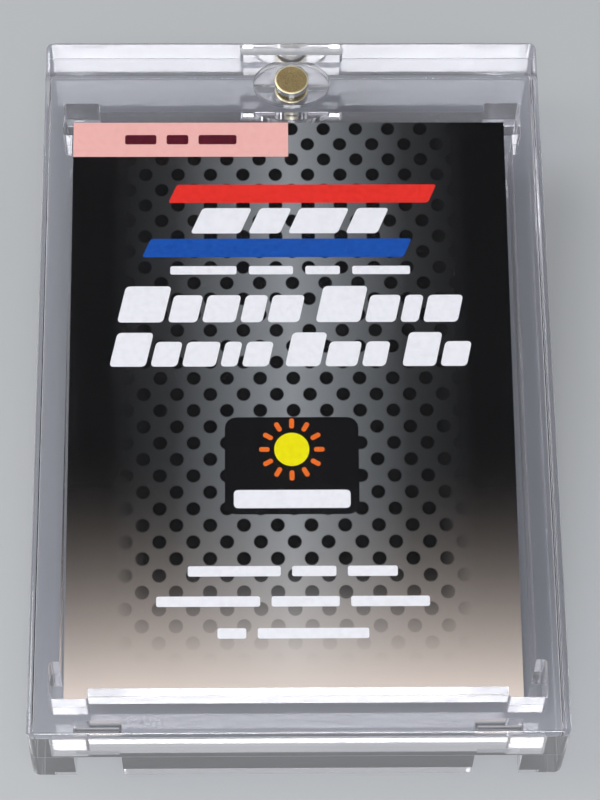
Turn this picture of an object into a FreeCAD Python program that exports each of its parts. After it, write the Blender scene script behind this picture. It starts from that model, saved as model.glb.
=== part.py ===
import FreeCAD, Part

import math
import os

# Magnetic card holder: two clear moulded halves that shut over a thick card, lying on its back.
# Millimetres. X runs across, Y from the tab end to the magnet end and Z out of the front face.
# The origin is the middle of the back face.

# The card that the case is made for, and the room round it
CARD_WIDTH = 63.5
CARD_LENGTH = 88.9
CARD_THICKNESS = 9.14
SIDE_ROOM = 0.65
END_ROOM = 0.65
DEPTH_ROOM = 0.26

# Walls of the case round the card recess
SIDE_RAIL = 4.1
TOP_RAIL = 11.1
BOTTOM_RAIL = 7.7
FACE_PLATE = 3.3
CORNER_RADIUS = 1.1
RIM_RADIUS = 0.8
PARTING_GAP = 0.1

# Square cut-outs that keep the card's corners from touching the case
CUTOUT_SIZE = 5.4
CUTOUT_SIDE_REACH = 1.4
CUTOUT_END_REACH = 1.5
CUTOUT_RADIUS = 0.5

# Disc magnets, each in a round seat that an oval cap closes at the parting face
MAGNET_DIAMETER = 5.0
MAGNET_HEIGHT = 1.5
MAGNET_FROM_TOP = 4.5
MAGNET_FIT = 0.06
CAP_LENGTH = 11.4
CAP_WIDTH = 7.8
CAP_THICKNESS = 0.5
CAP_FIT = 0.06

# Fingernail notch in the front half's top end, between its face plate and a ledge at the parting face
NOTCH_WIDTH = 15.3
NOTCH_DEPTH = 1.2
NOTCH_LEDGE = 1.35
NOTCH_RADIUS = 0.5

# Tabs under the front half that drop into open slots of the back half at the bottom end
TAB_SPACING = 54.4
TAB_WIDTH = 5.9
TAB_THICKNESS = 2.0
TAB_DROP = 2.8
TAB_SETBACK = 1.2
TAB_TIP_RADIUS = 0.9
SLOT_SIDE_ROOM = 0.3
SLOT_SWING_ROOM = 0.35

# Printed insert, a stiff sheet of card size. Its lower end stands on the recess floor and its upper
# end leans up to the front half's inner face.
INSERT_THICKNESS = 0.4
INSERT_FLOOR_GAP = 0.05
INSERT_TOP_GAP = 0.3
INSERT_END_GAP = 0.15
INSERT_SIDE_GAP = 0.18

# Worked out from the sizes above
RECESS_WIDTH = CARD_WIDTH + 2 * SIDE_ROOM
RECESS_LENGTH = CARD_LENGTH + 2 * END_ROOM
RECESS_DEPTH = CARD_THICKNESS + DEPTH_ROOM
CASE_WIDTH = RECESS_WIDTH + 2 * SIDE_RAIL
CASE_LENGTH = TOP_RAIL + RECESS_LENGTH + BOTTOM_RAIL
CASE_THICKNESS = RECESS_DEPTH + 2 * FACE_PLATE
MID_PLANE = CASE_THICKNESS / 2
PARTING_FACE = MID_PLANE - PARTING_GAP / 2
RECESS_TOP = CASE_LENGTH / 2 - TOP_RAIL
RECESS_BOTTOM = RECESS_TOP - RECESS_LENGTH
MAGNET_Y = CASE_LENGTH / 2 - MAGNET_FROM_TOP
CAP_FACE = PARTING_FACE - CAP_FIT
CAP_SEAT = CAP_FACE - CAP_THICKNESS
MAGNET_TOP = CAP_SEAT - MAGNET_FIT
MAGNET_BASE = MAGNET_TOP - MAGNET_HEIGHT
OVERCUT = 1.0


def box(x_low, x_high, y_low, y_high, z_low, z_high):
    corner = FreeCAD.Vector(x_low, y_low, z_low)
    return Part.makeBox(x_high - x_low, y_high - y_low, z_high - z_low, corner)


def upright(edge):
    """True for a straight edge along Z."""
    ends = [vertex.Point for vertex in edge.Vertexes]
    return len(ends) == 2 and math.hypot(ends[0].x - ends[1].x, ends[0].y - ends[1].y) < 1e-6


def rounded_upright_box(limits, radius):
    """A box whose four upright edges are rounded."""
    block = box(*limits)
    return block.makeFillet(radius, [edge for edge in block.Edges if upright(edge)])


def mirrored_to_front(shape):
    """The same shape on the other side of the case's middle plane."""
    return shape.mirror(FreeCAD.Vector(0, 0, MID_PLANE), FreeCAD.Vector(0, 0, 1))


def outer_block():
    """One half's outside: round corners, and a rounded rim at its outer face, which is at z = 0."""
    limits = (-CASE_WIDTH / 2, CASE_WIDTH / 2, -CASE_LENGTH / 2, CASE_LENGTH / 2, 0, PARTING_FACE)
    block = rounded_upright_box(limits, CORNER_RADIUS)
    rim = [edge for edge in block.Edges if edge.BoundBox.ZMax < 1e-6]
    return block.makeFillet(RIM_RADIUS, rim)


def corner_cutout(side, end):
    """Square pocket at one corner of the recess, reaching past both of its walls."""
    x_far = side * (RECESS_WIDTH / 2 + CUTOUT_SIDE_REACH)
    x_near = x_far - side * CUTOUT_SIZE
    wall = RECESS_TOP if end > 0 else RECESS_BOTTOM
    y_far = wall + end * CUTOUT_END_REACH
    y_near = y_far - end * CUTOUT_SIZE
    limits = (min(x_far, x_near), max(x_far, x_near), min(y_far, y_near), max(y_far, y_near),
              FACE_PLATE, MID_PLANE + OVERCUT)
    return rounded_upright_box(limits, CUTOUT_RADIUS)


def card_recess():
    """Space for half of the card's thickness, with the four corner cut-outs."""
    space = box(-RECESS_WIDTH / 2, RECESS_WIDTH / 2, RECESS_BOTTOM, RECESS_TOP,
                FACE_PLATE, MID_PLANE + OVERCUT)
    for side in (-1, 1):
        for end in (-1, 1):
            space = space.fuse(corner_cutout(side, end))
    return space.removeSplitter()


def oval_prism(length, width, z_low, z_high):
    """Elliptical prism round the magnet's axis, long way across the case."""
    centre = FreeCAD.Vector(0, MAGNET_Y, z_low)
    ellipse = Part.Ellipse(centre, length / 2, width / 2)
    face = Part.Face(Part.Wire([ellipse.toShape()]))
    return face.extrude(FreeCAD.Vector(0, 0, z_high - z_low))


def magnet_seat():
    """Round hole for the magnet and the shallow oval step for its cap."""
    step = oval_prism(CAP_LENGTH + 2 * CAP_FIT, CAP_WIDTH + 2 * CAP_FIT,
                      CAP_SEAT - CAP_FIT, MID_PLANE + OVERCUT)
    floor = MAGNET_BASE - MAGNET_FIT
    hole = Part.makeCylinder(MAGNET_DIAMETER / 2 + MAGNET_FIT, MID_PLANE - floor,
                             FreeCAD.Vector(0, MAGNET_Y, floor))
    return step.fuse(hole)


def plain_half():
    """What both halves share, modelled as the back half."""
    return outer_block().cut(card_recess()).cut(magnet_seat())


def tab_sweep_radius():
    """Reach of a tab's rounded tip from the bottom outer parting edge, on which the lid tilts."""
    across = TAB_SETBACK + TAB_THICKNESS - TAB_TIP_RADIUS
    down = TAB_DROP - TAB_TIP_RADIUS
    return math.hypot(across, down) + TAB_TIP_RADIUS


def tab_slot(side):
    """Open slot at the bottom end, right through the back half, deep enough for the tab to swing."""
    middle = side * TAB_SPACING / 2
    half_width = TAB_WIDTH / 2 + SLOT_SIDE_ROOM
    end = -CASE_LENGTH / 2
    depth = tab_sweep_radius() + SLOT_SWING_ROOM
    return box(middle - half_width, middle + half_width, end - OVERCUT, end + depth,
               -OVERCUT, MID_PLANE + OVERCUT)


def lid_tab(side):
    """Tab under the front half with a rounded tip, rooted in the half above the parting face."""
    middle = side * TAB_SPACING / 2
    y_low = -CASE_LENGTH / 2 + TAB_SETBACK
    tip = MID_PLANE - TAB_DROP
    root = CASE_THICKNESS - FACE_PLATE
    tab = box(middle - TAB_WIDTH / 2, middle + TAB_WIDTH / 2, y_low, y_low + TAB_THICKNESS, tip, root)
    tip_edges = [edge for edge in tab.Edges
                 if edge.BoundBox.ZMax < tip + 1e-6 and edge.BoundBox.XLength > TAB_WIDTH / 2]
    return tab.makeFillet(TAB_TIP_RADIUS, tip_edges)


def nail_notch():
    """Notch in the front half's top end for the fingernail that lifts it."""
    limits = (-NOTCH_WIDTH / 2, NOTCH_WIDTH / 2, CASE_LENGTH / 2 - NOTCH_DEPTH,
              CASE_LENGTH / 2 + NOTCH_DEPTH, MID_PLANE + NOTCH_LEDGE, CASE_THICKNESS - FACE_PLATE)
    return rounded_upright_box(limits, NOTCH_RADIUS)


def back_half():
    half = plain_half()
    for side in (-1, 1):
        half = half.cut(tab_slot(side))
    return half


def front_half():
    half = mirrored_to_front(plain_half()).cut(nail_notch())
    for side in (-1, 1):
        half = half.fuse(lid_tab(side))
    return half.removeSplitter()


def magnet():
    """Disc magnet in the back half's seat."""
    return Part.makeCylinder(MAGNET_DIAMETER / 2, MAGNET_HEIGHT,
                             FreeCAD.Vector(0, MAGNET_Y, MAGNET_BASE))


def magnet_cap():
    """Thin oval cap over the back half's magnet."""
    return oval_prism(CAP_LENGTH, CAP_WIDTH, CAP_SEAT, CAP_FACE)


def insert_lean():
    """Angle that brings the insert's upper end to its gap below the front half's inner face."""
    rise = RECESS_DEPTH - INSERT_FLOOR_GAP - INSERT_TOP_GAP
    diagonal = math.hypot(CARD_LENGTH, INSERT_THICKNESS)
    return math.degrees(math.asin(rise / diagonal) - math.atan2(INSERT_THICKNESS, CARD_LENGTH))


def insert_card():
    """Printed insert, near the left wall of the recess and leaning from floor to front."""
    left = -RECESS_WIDTH / 2 + INSERT_SIDE_GAP
    y_low = RECESS_BOTTOM + INSERT_END_GAP
    z_low = FACE_PLATE + INSERT_FLOOR_GAP
    sheet = box(left, left + CARD_WIDTH, y_low, y_low + CARD_LENGTH, z_low, z_low + INSERT_THICKNESS)
    sheet.rotate(FreeCAD.Vector(0, y_low, z_low), FreeCAD.Vector(1, 0, 0), insert_lean())
    return sheet


PIECES = {
    "back_half": back_half(),
    "front_half": front_half(),
    "back_magnet": magnet(),
    "front_magnet": mirrored_to_front(magnet()),
    "back_magnet_cap": magnet_cap(),
    "front_magnet_cap": mirrored_to_front(magnet_cap()),
    "insert_card": insert_card(),
}

os.makedirs("parts", exist_ok=True)
for name, shape in PIECES.items():
    shape.exportStep("parts/" + name + ".step")
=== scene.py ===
import math

import bmesh
import bpy
from mathutils import Matrix, Vector


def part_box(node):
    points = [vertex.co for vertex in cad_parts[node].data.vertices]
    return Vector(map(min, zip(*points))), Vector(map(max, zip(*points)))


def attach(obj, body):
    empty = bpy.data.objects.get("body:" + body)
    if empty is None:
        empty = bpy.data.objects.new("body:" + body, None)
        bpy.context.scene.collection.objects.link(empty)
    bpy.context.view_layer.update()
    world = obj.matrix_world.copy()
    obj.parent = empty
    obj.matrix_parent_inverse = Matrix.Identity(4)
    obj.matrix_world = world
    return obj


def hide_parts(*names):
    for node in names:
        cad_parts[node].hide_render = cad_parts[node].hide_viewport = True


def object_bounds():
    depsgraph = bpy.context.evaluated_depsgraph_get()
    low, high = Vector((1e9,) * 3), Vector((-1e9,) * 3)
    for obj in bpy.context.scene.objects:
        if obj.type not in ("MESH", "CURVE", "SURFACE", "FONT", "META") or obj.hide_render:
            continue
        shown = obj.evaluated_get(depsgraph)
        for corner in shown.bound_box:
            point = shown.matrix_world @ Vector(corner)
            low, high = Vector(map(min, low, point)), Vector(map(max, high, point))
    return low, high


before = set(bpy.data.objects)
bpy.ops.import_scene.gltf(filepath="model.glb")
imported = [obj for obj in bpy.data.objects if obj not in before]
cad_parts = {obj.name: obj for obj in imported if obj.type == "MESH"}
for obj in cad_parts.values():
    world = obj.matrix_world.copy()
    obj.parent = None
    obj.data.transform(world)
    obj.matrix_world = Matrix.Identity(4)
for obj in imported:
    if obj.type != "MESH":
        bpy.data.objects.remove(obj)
CAD_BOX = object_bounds()

MM = 0.001

# The photograph's camera, fitted to the insert's and the case's corners
IMAGE_HEIGHT = 800
FOCAL_PIXELS = 3011
SENSOR_HEIGHT = 32.0
NEAR_CLIP = 10 * MM
CAMERA_TARGET = Vector((0.96, 2.90, 0.0)) * MM
CAMERA_DISTANCE = 440.5 * MM
CAMERA_TILT = math.radians(25.61)
CAMERA_TURN = math.radians(-2.505)
CAMERA_ROLL = math.radians(2.088)

# Lamps, with places and sizes in metres. The camera panel's place is seen from the camera.
CAMERA_PANEL_OFFSET = Vector((0.017, 0.0, 0.02))
CAMERA_PANEL_SIZE = (0.15, 0.115)
CAMERA_PANEL_WATTS = 0.95
LEFT_PANEL_PLACE = Vector((-1.5, 0.2, 1.2))
LEFT_PANEL_SIZE = (1.0, 1.0)
LEFT_PANEL_WATTS = 23.0

# Floor, in metres, just under the case
FLOOR_HALF_WIDTH = 3.0
FLOOR_GAP = 0.05 * MM

# The insert, a sheet of standard card size, and the ink on it, in millimetres
SHEET_WIDTH = 63.5
SHEET_LENGTH = 88.9
SHEET_THICKNESS = 0.4
INK_THICKNESS = 0.02

# Print on the insert, in millimetres from its middle: a grey glow down the middle, round dots in
# staggered rows that fade towards the sides and the foot, and a warm foot
GLOW_HALF_WIDTH = 26.0
DOT_RADIUS = 1.0
DOT_EDGE = 0.08
DOT_PITCH = 4.75
DOT_ROW_PITCH = 4.9
DOT_COLUMN_X = 0.3
DOT_ROW_Y = 38.5
DOT_BLACK_REACH = 20.0
DOT_REACH = 26.0
DOT_FADE_TOP = -22.0
DOT_FADE_BOTTOM = -39.0
FOOT_TOP = -4.0
FOOT_BOTTOM = -43.0
FOOT_RISE = 3.0
PRINT_BLACK = "#040404"

# Depth under the printed face down to which the sheet's edge has its colour, and from where it is bare
PRINT_DEPTH = 0.08
BARE_DEPTH = 0.12

# Slant of the white title blocks, as run over rise. The bands slant twice as much.
ITALIC = 0.22

# Real sizes of what the finishes show, in millimetres
FLOW_LINE_WIDTH = 1.2
SMEAR_SIZE = 18.0
PLATING_GRAIN = 0.25
CARD_FIBRE = 0.4
INK_MOTTLE = 0.8
RELIEF = 0.02

# Flow lines' length over their width, and the share of clear surface on the milky upright walls
FLOW_LINE_STRETCH = 12.5
WALL_CLARITY = 0.82

# Bounces after which light caught inside the plastic is let out
LONGEST_PATH = 7.5

# Gloss of coated card and of the ink on it
COATING_ROUGHNESS = 0.25
COATING_SPECULAR = 0.3

# Magnets and caps, in millimetres: the rounded rim, the height of the parting plane, and the
# distance from it past which a cap's inner face lies
MAGNET_RIM = 0.35
PARTING_HEIGHT = 8.0
CAP_BOND_DEPTH = 0.3

# Sides of a round shape, and steps of a rounded edge
MAGNET_SIDES = 64
SUN_SIDES = 40
EDGE_STEPS = 4

# Sockets of a Mix node's two colours
COLOUR_A = 6
COLOUR_B = 7


def linear(hex_colour):
    """An sRGB hex colour as linear RGBA."""
    shares = [int(hex_colour[i:i + 2], 16) / 255 for i in (1, 3, 5)]
    return [s / 12.92 if s <= 0.04045 else ((s + 0.055) / 1.055) ** 2.4 for s in shares] + [1.0]


def material(name):
    """An empty material and its node tree."""
    made = bpy.data.materials.new(name)
    made.use_nodes = True
    made.node_tree.nodes.clear()
    return made, made.node_tree


def add(tree, kind, links=None, values=None, **settings):
    """Adds a node with its settings, socket values and the sockets that feed it."""
    made = tree.nodes.new(kind)
    for name, value in settings.items():
        setattr(made, name, value)
    for socket, value in (values or {}).items():
        made.inputs[socket].default_value = value
    for socket, source in (links or {}).items():
        tree.links.new(source, made.inputs[socket])
    return made


def set_stops(ramp, stops):
    """Gives a Color Ramp its stops, as pairs of place and hex colour."""
    while len(ramp.elements) < len(stops):
        ramp.elements.new(0.5)
    for element, (place, colour) in zip(ramp.elements, stops):
        element.position = place
        element.color = linear(colour)


def cap_inner_face(tree, place, upward):
    """Socket that is 1 on a magnet cap's face towards its magnet, which is bonded into the seat."""
    height = add(tree, "ShaderNodeSeparateXYZ", {"Vector": place})
    from_parting = add(tree, "ShaderNodeMath", {0: height.outputs["Z"]}, {1: PARTING_HEIGHT * MM},
                       operation="SUBTRACT")
    outward = add(tree, "ShaderNodeMath", {0: from_parting.outputs["Value"], 1: upward},
                  operation="MULTIPLY")
    return add(tree, "ShaderNodeMath", {0: outward.outputs["Value"]}, {1: CAP_BOND_DEPTH * MM},
               operation="GREATER_THAN").outputs["Value"]


def clear_styrene(name, glass="#F2F2F5", unbent_tint="#F6F6F8", bonded=False):
    """Injection-moulded clear polystyrene, polished in the mould: glassy, with a faint violet cast,
    hair-fine flow lines along its length and soft smears that dull the highlights in places. Upright
    walls come out of the mould less polished than the plates and look slightly milky. Lamps shine
    through it, and so does light that the floor and the insert give back. Where a cap is bonded into
    its seat, its inner face doesn't show."""
    made, tree = material(name)
    where = add(tree, "ShaderNodeTexCoord")
    place = where.outputs["Object"]
    facing = add(tree, "ShaderNodeSeparateXYZ", {"Vector": where.outputs["Normal"]})
    flatness = add(tree, "ShaderNodeMath", {0: facing.outputs["Z"]}, operation="ABSOLUTE")
    clear = add(tree, "ShaderNodeMapRange", {"Value": flatness.outputs["Value"]},
                {"From Min": 0.2, "From Max": 0.6, "To Min": WALL_CLARITY, "To Max": 1.0})
    stretched = add(tree, "ShaderNodeMapping", {"Vector": place},
                    {"Scale": (1.0, 1 / FLOW_LINE_STRETCH, 1.0)})
    marks = add(tree, "ShaderNodeTexNoise", {"Vector": stretched.outputs["Vector"]},
                {"Scale": 1 / (FLOW_LINE_WIDTH * MM), "Detail": 3.0, "Roughness": 0.6})
    smears = add(tree, "ShaderNodeTexNoise", {"Vector": place},
                 {"Scale": 1 / (SMEAR_SIZE * MM), "Detail": 2.0})
    rough = add(tree, "ShaderNodeMapRange", {"Value": smears.outputs["Fac"]},
                {"From Min": 0.35, "From Max": 0.75, "To Min": 0.01, "To Max": 0.06})
    bump = add(tree, "ShaderNodeBump", {"Height": marks.outputs["Fac"]},
               {"Strength": 0.03, "Distance": RELIEF * MM})
    body = add(tree, "ShaderNodeBsdfPrincipled",
               {"Roughness": rough.outputs["Result"], "Normal": bump.outputs["Normal"],
                "Transmission Weight": clear.outputs["Result"]},
               {"Base Color": linear(glass), "IOR": 1.5})
    unbent = add(tree, "ShaderNodeBsdfTransparent", values={"Color": linear(unbent_tint)})
    path = add(tree, "ShaderNodeLightPath")
    trapped = add(tree, "ShaderNodeMath", {0: path.outputs["Ray Depth"]}, {1: LONGEST_PATH},
                  operation="GREATER_THAN")
    shares = [trapped.outputs["Value"], path.outputs["Is Diffuse Ray"], path.outputs["Is Shadow Ray"]]
    if bonded:
        shares.append(cap_inner_face(tree, place, facing.outputs["Z"]))
    for share in shares:
        body = add(tree, "ShaderNodeMixShader", {0: share, 1: body.outputs[0], 2: unbent.outputs["BSDF"]})
    add(tree, "ShaderNodeOutputMaterial", {"Surface": body.outputs[0]})
    return made


def gold_plating():
    """Gold-coloured plating on a pressed magnet: a satin metal with a fine grain and dull specks. Its rim
    and wall, where they face sideways, are painted paler cream and less metallic than its faces, as a
    painted highlight."""
    made, tree = material("gold_magnet_plating")
    where = add(tree, "ShaderNodeTexCoord")
    facing = add(tree, "ShaderNodeSeparateXYZ", {"Vector": where.outputs["Normal"]})
    flatness = add(tree, "ShaderNodeMath", {0: facing.outputs["Z"]}, operation="ABSOLUTE")
    # Painted highlight: 1 where the magnet faces sideways, which makes its rim and wall paler cream and
    # less metallic
    painted_highlight = add(tree, "ShaderNodeMapRange", {"Value": flatness.outputs["Value"]},
                 {"From Min": 0.98, "From Max": 0.8, "To Min": 0.0, "To Max": 1.0})
    grain = add(tree, "ShaderNodeTexNoise", {"Vector": where.outputs["Object"]},
                {"Scale": 1 / (PLATING_GRAIN * MM), "Detail": 4.0})
    tone = add(tree, "ShaderNodeValToRGB", {"Fac": grain.outputs["Fac"]})
    set_stops(tone.color_ramp, ((0.3, "#9A8557"), (0.75, "#BFAC7C")))
    colour = add(tree, "ShaderNodeMix",
                 {"Factor": painted_highlight.outputs["Result"], COLOUR_A: tone.outputs["Color"]},
                 {COLOUR_B: linear("#F6EDC4")}, data_type="RGBA")
    metal = add(tree, "ShaderNodeMapRange", {"Value": painted_highlight.outputs["Result"]},
                {"From Min": 0.0, "From Max": 1.0, "To Min": 1.0, "To Max": 0.6})
    rough = add(tree, "ShaderNodeMapRange", {"Value": grain.outputs["Fac"]},
                {"From Min": 0.3, "From Max": 0.7, "To Min": 0.42, "To Max": 0.55})
    bump = add(tree, "ShaderNodeBump", {"Height": grain.outputs["Fac"]},
               {"Strength": 0.1, "Distance": RELIEF * MM})
    body = add(tree, "ShaderNodeBsdfPrincipled",
               {"Base Color": colour.outputs["Result"], "Roughness": rough.outputs["Result"],
                "Metallic": metal.outputs["Result"], "Normal": bump.outputs["Normal"]})
    add(tree, "ShaderNodeOutputMaterial", {"Surface": body.outputs["BSDF"]})
    return made


def sheet_frame():
    """Place of the insert's printed face, with its origin at its middle, and the sheet's lean."""
    low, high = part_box("insert_card")
    rise = (high.z - low.z) / MM
    lean = math.asin(rise / math.hypot(SHEET_LENGTH, SHEET_THICKNESS))
    lean -= math.atan2(SHEET_THICKNESS, SHEET_LENGTH)
    up_sheet = Vector((0, math.cos(lean), math.sin(lean)))
    outward = Vector((0, -math.sin(lean), math.cos(lean)))
    foot = Vector(((low.x + high.x) / 2, low.y + SHEET_THICKNESS * MM * math.sin(lean), low.z))
    middle = foot + (up_sheet * SHEET_LENGTH / 2 + outward * SHEET_THICKNESS) * MM
    return Matrix.Translation(middle) @ Matrix.Rotation(lean, 4, "X"), lean


SHEET, LEAN = sheet_frame()


def print_ground(tree, aside, along):
    """Socket with the ground's colour: a grey glow down the middle of black, and a cream foot."""
    spread = add(tree, "ShaderNodeMath", {0: aside}, {1: GLOW_HALF_WIDTH}, operation="DIVIDE")
    glow = add(tree, "ShaderNodeValToRGB", {"Fac": spread.outputs["Value"]})
    set_stops(glow.color_ramp,
              ((0.0, "#8F9393"), (0.3, "#6A6D6D"), (0.65, "#303131"), (1.0, PRINT_BLACK)))
    down = add(tree, "ShaderNodeMapRange", {"Value": along},
               {"From Min": FOOT_TOP, "From Max": FOOT_BOTTOM, "To Min": 0.0, "To Max": 1.0})
    warm = add(tree, "ShaderNodeMath", {0: down.outputs["Result"]}, {1: FOOT_RISE}, operation="POWER")
    ground = add(tree, "ShaderNodeMix",
                 {"Factor": warm.outputs["Value"], COLOUR_A: glow.outputs["Color"]},
                 {COLOUR_B: linear("#EBDCCC")}, data_type="RGBA")
    return ground.outputs["Result"]


def dot_share(tree, on_sheet):
    """Socket that is 1 inside the print's round dots and 0 between them."""
    spans = []
    for shift in (0.0, 0.5):
        middle = (DOT_COLUMN_X + shift * DOT_PITCH, DOT_ROW_Y + shift * DOT_ROW_PITCH, 0.0)
        moved = add(tree, "ShaderNodeVectorMath", {0: on_sheet}, {1: middle}, operation="SUBTRACT")
        cell = add(tree, "ShaderNodeVectorMath", {0: moved.outputs["Vector"]},
                   {1: (-DOT_PITCH / 2, -DOT_ROW_PITCH / 2, -SHEET_LENGTH),
                    2: (DOT_PITCH / 2, DOT_ROW_PITCH / 2, SHEET_LENGTH)}, operation="WRAP")
        flat = add(tree, "ShaderNodeVectorMath", {0: cell.outputs["Vector"]}, {1: (1.0, 1.0, 0.0)},
                   operation="MULTIPLY")
        spans.append(add(tree, "ShaderNodeVectorMath", {0: flat.outputs["Vector"]}, operation="LENGTH"))
    nearest = add(tree, "ShaderNodeMath",
                  {0: spans[0].outputs["Value"], 1: spans[1].outputs["Value"]}, operation="MINIMUM")
    return add(tree, "ShaderNodeMapRange", {"Value": nearest.outputs["Value"]},
               {"From Min": DOT_RADIUS + DOT_EDGE, "From Max": DOT_RADIUS - DOT_EDGE,
                "To Min": 0.0, "To Max": 1.0}).outputs["Result"]


def dot_strength(tree, aside, along):
    """Socket that is 1 where the dots are black, and falls to 0 towards the sides and the foot."""
    fades = []
    for source, bare, black in ((aside, DOT_REACH, DOT_BLACK_REACH),
                                (along, DOT_FADE_BOTTOM, DOT_FADE_TOP)):
        fades.append(add(tree, "ShaderNodeMapRange", {"Value": source},
                         {"From Min": bare, "From Max": black, "To Min": 0.0, "To Max": 1.0},
                         interpolation_type="SMOOTHSTEP"))
    return add(tree, "ShaderNodeMath", {0: fades[0].outputs["Result"], 1: fades[1].outputs["Result"]},
               operation="MULTIPLY").outputs["Value"]


def printed_board():
    """Coated card printed edge to edge: black at the sides, a grey glow down the middle that warms to
    cream at the foot, and staggered black dots. Its back is bare, slightly warm white card."""
    made, tree = material("printed_coated_card")
    place = add(tree, "ShaderNodeTexCoord").outputs["Object"]
    on_sheet = add(tree, "ShaderNodeMapping", {"Vector": place},
                   {"Location": SHEET.to_translation(), "Rotation": (LEAN, 0, 0), "Scale": (MM, MM, MM)},
                   vector_type="TEXTURE").outputs["Vector"]
    parts = add(tree, "ShaderNodeSeparateXYZ", {"Vector": on_sheet})
    along = parts.outputs["Y"]
    aside = add(tree, "ShaderNodeMath", {0: parts.outputs["X"]}, operation="ABSOLUTE").outputs["Value"]

    inked = add(tree, "ShaderNodeMath",
                {0: dot_share(tree, on_sheet), 1: dot_strength(tree, aside, along)},
                operation="MULTIPLY")
    face = add(tree, "ShaderNodeMix",
               {"Factor": inked.outputs["Value"], COLOUR_A: print_ground(tree, aside, along)},
               {COLOUR_B: linear(PRINT_BLACK)}, data_type="RGBA")

    front = add(tree, "ShaderNodeMapRange", {"Value": parts.outputs["Z"]},
                {"From Min": -BARE_DEPTH, "From Max": -PRINT_DEPTH, "To Min": 0.0, "To Max": 1.0})
    colour = add(tree, "ShaderNodeMix",
                 {"Factor": front.outputs["Result"], COLOUR_B: face.outputs["Result"]},
                 {COLOUR_A: linear("#E9E6DF")}, data_type="RGBA")
    fibre = add(tree, "ShaderNodeTexNoise", {"Vector": place},
                {"Scale": 1 / (CARD_FIBRE * MM), "Detail": 3.0})
    bump = add(tree, "ShaderNodeBump", {"Height": fibre.outputs["Fac"]},
               {"Strength": 0.05, "Distance": RELIEF * MM})
    body = add(tree, "ShaderNodeBsdfPrincipled",
               {"Base Color": colour.outputs["Result"], "Normal": bump.outputs["Normal"]},
               {"Roughness": COATING_ROUGHNESS, "Specular IOR Level": COATING_SPECULAR})
    add(tree, "ShaderNodeOutputMaterial", {"Surface": body.outputs["BSDF"]})
    return made


def ink(name, hex_colour, dark_hex):
    """Offset ink on coated card: an even colour with a barely visible mottle."""
    made, tree = material(name)
    place = add(tree, "ShaderNodeTexCoord").outputs["Object"]
    mottle = add(tree, "ShaderNodeTexNoise", {"Vector": place},
                 {"Scale": 1 / (INK_MOTTLE * MM), "Detail": 2.0})
    tone = add(tree, "ShaderNodeValToRGB", {"Fac": mottle.outputs["Fac"]})
    set_stops(tone.color_ramp, ((0.3, dark_hex), (0.6, hex_colour)))
    body = add(tree, "ShaderNodeBsdfPrincipled", {"Base Color": tone.outputs["Color"]},
               {"Roughness": COATING_ROUGHNESS, "Specular IOR Level": COATING_SPECULAR})
    add(tree, "ShaderNodeOutputMaterial", {"Surface": body.outputs["BSDF"]})
    return made


def dress(node, finish):
    """Gives a CAD node its finish."""
    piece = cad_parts[node]
    piece.data.materials.clear()
    piece.data.materials.append(finish)


def mesh_object(name, mesh, finish):
    """Makes a bmesh an object in the scene, with its finish."""
    data = bpy.data.meshes.new(name)
    mesh.to_mesh(data)
    mesh.free()
    data.materials.append(finish)
    made = bpy.data.objects.new(name, data)
    bpy.context.scene.collection.objects.link(made)
    return made


def rolled_magnet(node, body, finish):
    """A disc magnet in its CAD node's place, with the rounded rims that plating in a barrel leaves."""
    low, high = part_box(node)
    radius = (high.x - low.x) / 2
    mesh = bmesh.new()
    bmesh.ops.create_cone(mesh, cap_ends=True, segments=MAGNET_SIDES, radius1=radius, radius2=radius,
                          depth=high.z - low.z, matrix=Matrix.Translation((low + high) / 2))
    rims = {edge for face in mesh.faces if len(face.verts) == MAGNET_SIDES for edge in face.edges}
    bmesh.ops.bevel(mesh, geom=list(rims), offset=MAGNET_RIM * MM, offset_type="OFFSET",
                    segments=EDGE_STEPS, profile=0.5, affect="EDGES", material=-1)
    for face in mesh.faces:
        face.smooth = len(face.verts) < MAGNET_SIDES
    bmesh.ops.recalc_face_normals(mesh, faces=mesh.faces)
    piece = mesh_object(node + "_rolled", mesh, finish)
    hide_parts(node)
    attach(piece, body)


def add_block(mesh, middle, size, corner, slant=0.0):
    """Adds a thin block of ink with rounded corners, in millimetres on the sheet, to a bmesh."""
    place = Matrix.Translation((middle[0], middle[1], INK_THICKNESS / 2))
    place = place @ Matrix.Diagonal((size[0], size[1], INK_THICKNESS, 1.0))
    made = bmesh.ops.create_cube(mesh, size=1.0, matrix=place)
    corners = {e for v in made["verts"] for e in v.link_edges
               if abs(e.verts[0].co.z - e.verts[1].co.z) > INK_THICKNESS / 2}
    for vert in made["verts"]:
        vert.co.x += slant * (vert.co.y - middle[1])
    if corner > 0:
        bmesh.ops.bevel(mesh, geom=list(corners), offset=corner, offset_type="OFFSET",
                        segments=EDGE_STEPS, profile=0.5, affect="EDGES", material=-1)


def add_row(mesh, y, height, words, gap, corner, word_gap=0.0, slant=0.0, middle=0.0, rise=0.0):
    """Adds a centred row of blocks in groups, the first block of each group taller by the rise."""
    span = sum(sum(word) + gap * (len(word) - 1) for word in words) + word_gap * (len(words) - 1)
    x = middle - span / 2
    for word in words:
        extra = rise
        for width in word:
            add_block(mesh, (x + width / 2 + slant * extra / 2, y + extra / 2), (width, height + extra),
                      corner, slant)
            x += width + gap
            extra = 0.0
        x += word_gap - gap


def add_disc(mesh, middle, radius, sides):
    """Adds a thin round field of ink."""
    bmesh.ops.create_cone(mesh, cap_ends=True, segments=sides, radius1=radius, radius2=radius,
                          depth=INK_THICKNESS,
                          matrix=Matrix.Translation((middle[0], middle[1], INK_THICKNESS / 2)))


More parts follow.
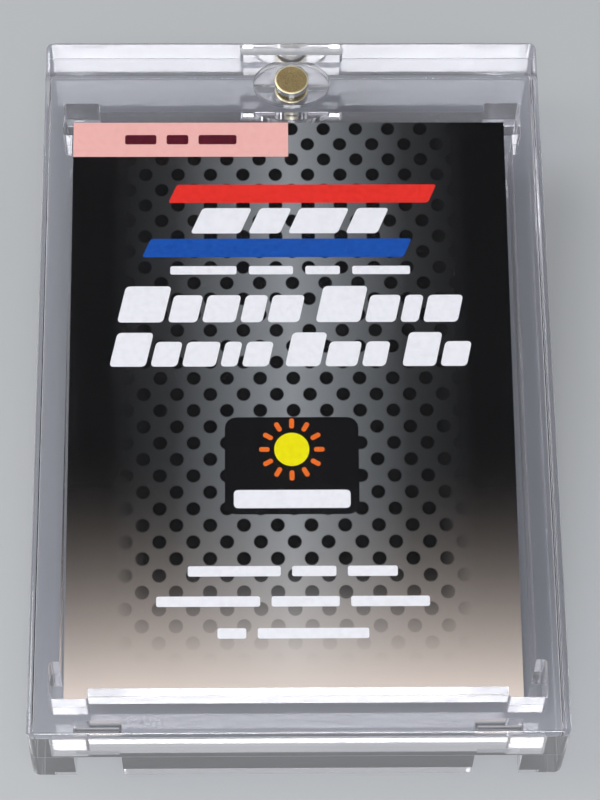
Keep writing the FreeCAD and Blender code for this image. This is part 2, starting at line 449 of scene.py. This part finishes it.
def print_layer(name, mesh, finish, layer=0):
    """Lays the ink shapes on the insert's face as one piece that stays with the back half."""
    lift = Matrix.Diagonal((MM, MM, MM, 1.0)) @ Matrix.Translation((0, 0, layer * INK_THICKNESS))
    bmesh.ops.transform(mesh, matrix=SHEET @ lift, verts=mesh.verts)
    bmesh.ops.recalc_face_normals(mesh, faces=mesh.faces)
    piece = mesh_object(name, mesh, finish)
    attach(piece, "base")


def colour_tab():
    """Pink field at the sheet's top left corner with a row of dark dashes."""
    width = 31.6
    height = 5.5
    middle = (-SHEET_WIDTH / 2 + width / 2, SHEET_LENGTH / 2 - height / 2)
    mesh = bmesh.new()
    add_block(mesh, middle, (width, height), corner=0)
    print_layer("tab_field", mesh, ink("pink_ink", "#FFC1B6", "#FBBBB0"))
    mesh = bmesh.new()
    add_row(mesh, middle[1], 1.5, ((4.6, 3.2, 5.6),), gap=1.5, corner=0.3, middle=middle[0])
    print_layer("tab_dashes", mesh, ink("maroon_ink", "#5C1424", "#4E101E"), layer=1)


def striped_band(white):
    """Slanted red and blue bands with white blocks between them and a broken white line below."""
    centre = 28.7
    band_size = (38.0, 2.9)
    band_slant = 2 * ITALIC
    for name, y, finish in (("red_band", 33.0, ink("red_ink", "#F5352B", "#E82E24")),
                            ("blue_band", 24.4, ink("blue_ink", "#1A56B0", "#144CA2"))):
        mesh = bmesh.new()
        add_block(mesh, (band_slant * (y - centre), y), band_size, corner=0.4, slant=band_slant)
        print_layer(name, mesh, finish)
    mesh = bmesh.new()
    add_row(mesh, centre, 4.0, ((7.2, 4.6, 7.2, 4.6),), gap=1.2, corner=0.5, slant=band_slant)
    add_row(mesh, 20.9, 1.3, ((9.6, 6.4, 5.0, 8.4),), gap=1.8, corner=0.3)
    print_layer("band_whites", mesh, white)


def title_rows(white):
    """Two rows of slanted white blocks in word-like groups, as weighty as a title."""
    mesh = bmesh.new()
    for y, height, words in (
            (14.9, 4.2, ((6.6, 4.2, 4.8, 3.2, 4.6), (6.4, 4.4, 2.6, 5.0))),
            (7.9, 3.8, ((5.2, 3.8, 4.8, 2.4, 3.8), (5.0, 4.6, 3.4), (4.8, 3.8)))):
        add_row(mesh, y, height, words, gap=0.7, corner=0.6, word_gap=2.4, slant=ITALIC, rise=1.4)
    print_layer("title_rows", mesh, white)


def sun_badge(white):
    """Dark rounded badge with a yellow sun, orange rays and a white foot."""
    middle = (0.0, -9.0)
    sun = (0.0, -6.6)
    foot = (0.0, -14.0)
    rays = 12
    ray_middle = (0.0, 3.9)
    mesh = bmesh.new()
    add_block(mesh, middle, (19.0, 14.5), corner=1.6)
    print_layer("badge_ground", mesh, ink("black_ink", "#0C0C0D", "#080809"))
    mesh = bmesh.new()
    add_disc(mesh, sun, radius=2.5, sides=SUN_SIDES)
    print_layer("badge_sun", mesh, ink("yellow_ink", "#FAF00C", "#F3E608"), layer=1)
    mesh = bmesh.new()
    for ray in range(rays):
        start = len(mesh.verts)
        add_block(mesh, ray_middle, (0.7, 1.5), corner=0.3)
        mesh.verts.ensure_lookup_table()
        place = Matrix.Translation((*sun, 0)) @ Matrix.Rotation(math.tau * ray / rays, 4, "Z")
        bmesh.ops.transform(mesh, matrix=place, verts=mesh.verts[start:])
    print_layer("badge_rays", mesh, ink("orange_ink", "#F5762A", "#EE6C22"), layer=1)
    mesh = bmesh.new()
    add_block(mesh, foot, (16.5, 2.7), corner=0.6)
    print_layer("badge_foot", mesh, white, layer=1)


def small_lines(white):
    """Three broken white lines near the foot, as light as small text."""
    mesh = bmesh.new()
    for y, lengths in ((-24.6, (13.0, 6.2, 7.0)), (-29.0, (14.5, 9.5, 11.0)), (-33.6, (4.0, 15.5))):
        add_row(mesh, y, 1.5, (lengths,), gap=1.6, corner=0.3)
    print_layer("small_lines", mesh, white)


def camera_place():
    """The camera's position and turn."""
    turned = Matrix.Rotation(CAMERA_TURN, 4, "Z") @ Matrix.Rotation(CAMERA_TILT, 4, "X")
    turned = turned @ Matrix.Rotation(CAMERA_ROLL, 4, "Z")
    return Matrix.Translation(CAMERA_TARGET + turned @ Vector((0, 0, CAMERA_DISTANCE))) @ turned


def photo_camera():
    """Camera at the photograph's angle and distance."""
    data = bpy.data.cameras.new("photo_camera")
    data.sensor_fit = "VERTICAL"
    data.sensor_height = SENSOR_HEIGHT
    data.lens = FOCAL_PIXELS / IMAGE_HEIGHT * SENSOR_HEIGHT
    data.clip_start = NEAR_CLIP
    camera = bpy.data.objects.new("photo_camera", data)
    camera.matrix_world = camera_place()
    bpy.context.scene.collection.objects.link(camera)
    bpy.context.scene.camera = camera


def soft_panel(name, place, size, watts):
    """Soft lamp, a rectangle that faces the middle of the case's back."""
    data = bpy.data.lights.new(name, "AREA")
    data.shape = "RECTANGLE"
    data.size, data.size_y = size
    data.energy = watts
    lamp = bpy.data.objects.new(name, data)
    lamp.location = place
    lamp.rotation_euler = (-place).to_track_quat("-Z", "Y").to_euler()
    bpy.context.scene.collection.objects.link(lamp)


def pale_floor():
    """Plain pale matt floor under the case."""
    made, tree = material("pale_floor")
    body = add(tree, "ShaderNodeBsdfPrincipled",
               values={"Base Color": linear("#ABADAE"), "Roughness": 0.9, "Specular IOR Level": 0.1})
    add(tree, "ShaderNodeOutputMaterial", {"Surface": body.outputs["BSDF"]})
    mesh = bmesh.new()
    bmesh.ops.create_grid(mesh, x_segments=1, y_segments=1, size=FLOOR_HALF_WIDTH)
    floor = mesh_object("floor", mesh, made)
    floor.location.z = CAD_BOX[0][2] - FLOOR_GAP


def studio_sky():
    """A room that is pale at eye level and dim overhead, so that the front plate mirrors no glare,
    with a soft bright ring high up that shows through the end faces."""
    pale = "#EBEDF0"
    dim = "#2E2F31"
    ring = "#B6B7B9"
    world = bpy.data.worlds.new("studio_sky")
    world.use_nodes = True
    tree = world.node_tree
    tree.nodes.clear()
    way = add(tree, "ShaderNodeTexCoord").outputs["Generated"]
    parts = add(tree, "ShaderNodeSeparateXYZ", {"Vector": way})
    tone = add(tree, "ShaderNodeValToRGB", {"Fac": parts.outputs["Z"]})
    set_stops(tone.color_ramp, ((0.0, pale), (0.5, pale), (0.83, "#9A9B9E"), (0.854, "#323335"),
                                (0.925, dim), (0.94, ring), (0.952, ring), (0.965, dim)))
    sky = add(tree, "ShaderNodeBackground", {"Color": tone.outputs["Color"]})
    add(tree, "ShaderNodeOutputWorld", {"Surface": sky.outputs["Background"]})
    bpy.context.scene.world = world


def lamps():
    """A soft lamp beside the camera, whose light the case's square edges send straight back, and a
    wider one from the left."""
    camera_panel_place = camera_place() @ CAMERA_PANEL_OFFSET
    soft_panel("camera_panel", camera_panel_place, CAMERA_PANEL_SIZE, CAMERA_PANEL_WATTS)
    soft_panel("left_panel", LEFT_PANEL_PLACE, LEFT_PANEL_SIZE, LEFT_PANEL_WATTS)


plastic = clear_styrene("clear_moulded_styrene")
for half in ("back_half", "front_half"):
    dress(half, plastic)
# Painted light: the caps use a copy of the plastic without the halves' tint, so the magnet seats under
# them come out as light as their surroundings instead of shaded
cap_plastic = clear_styrene("bonded_clear_styrene", glass="#FFFFFF", unbent_tint="#FFFFFF", bonded=True)
for cap in ("back_magnet_cap", "front_magnet_cap"):
    dress(cap, cap_plastic)
plating = gold_plating()
rolled_magnet("back_magnet", "base", plating)
rolled_magnet("front_magnet", "lid", plating)
dress("insert_card", printed_board())

white_ink = ink("white_ink", "#FAFAFA", "#F2F2F2")
colour_tab()
striped_band(white_ink)
title_rows(white_ink)
sun_badge(white_ink)
small_lines(white_ink)

photo_camera()
pale_floor()
studio_sky()
lamps()
bpy.context.scene.view_settings.view_transform = "Standard"
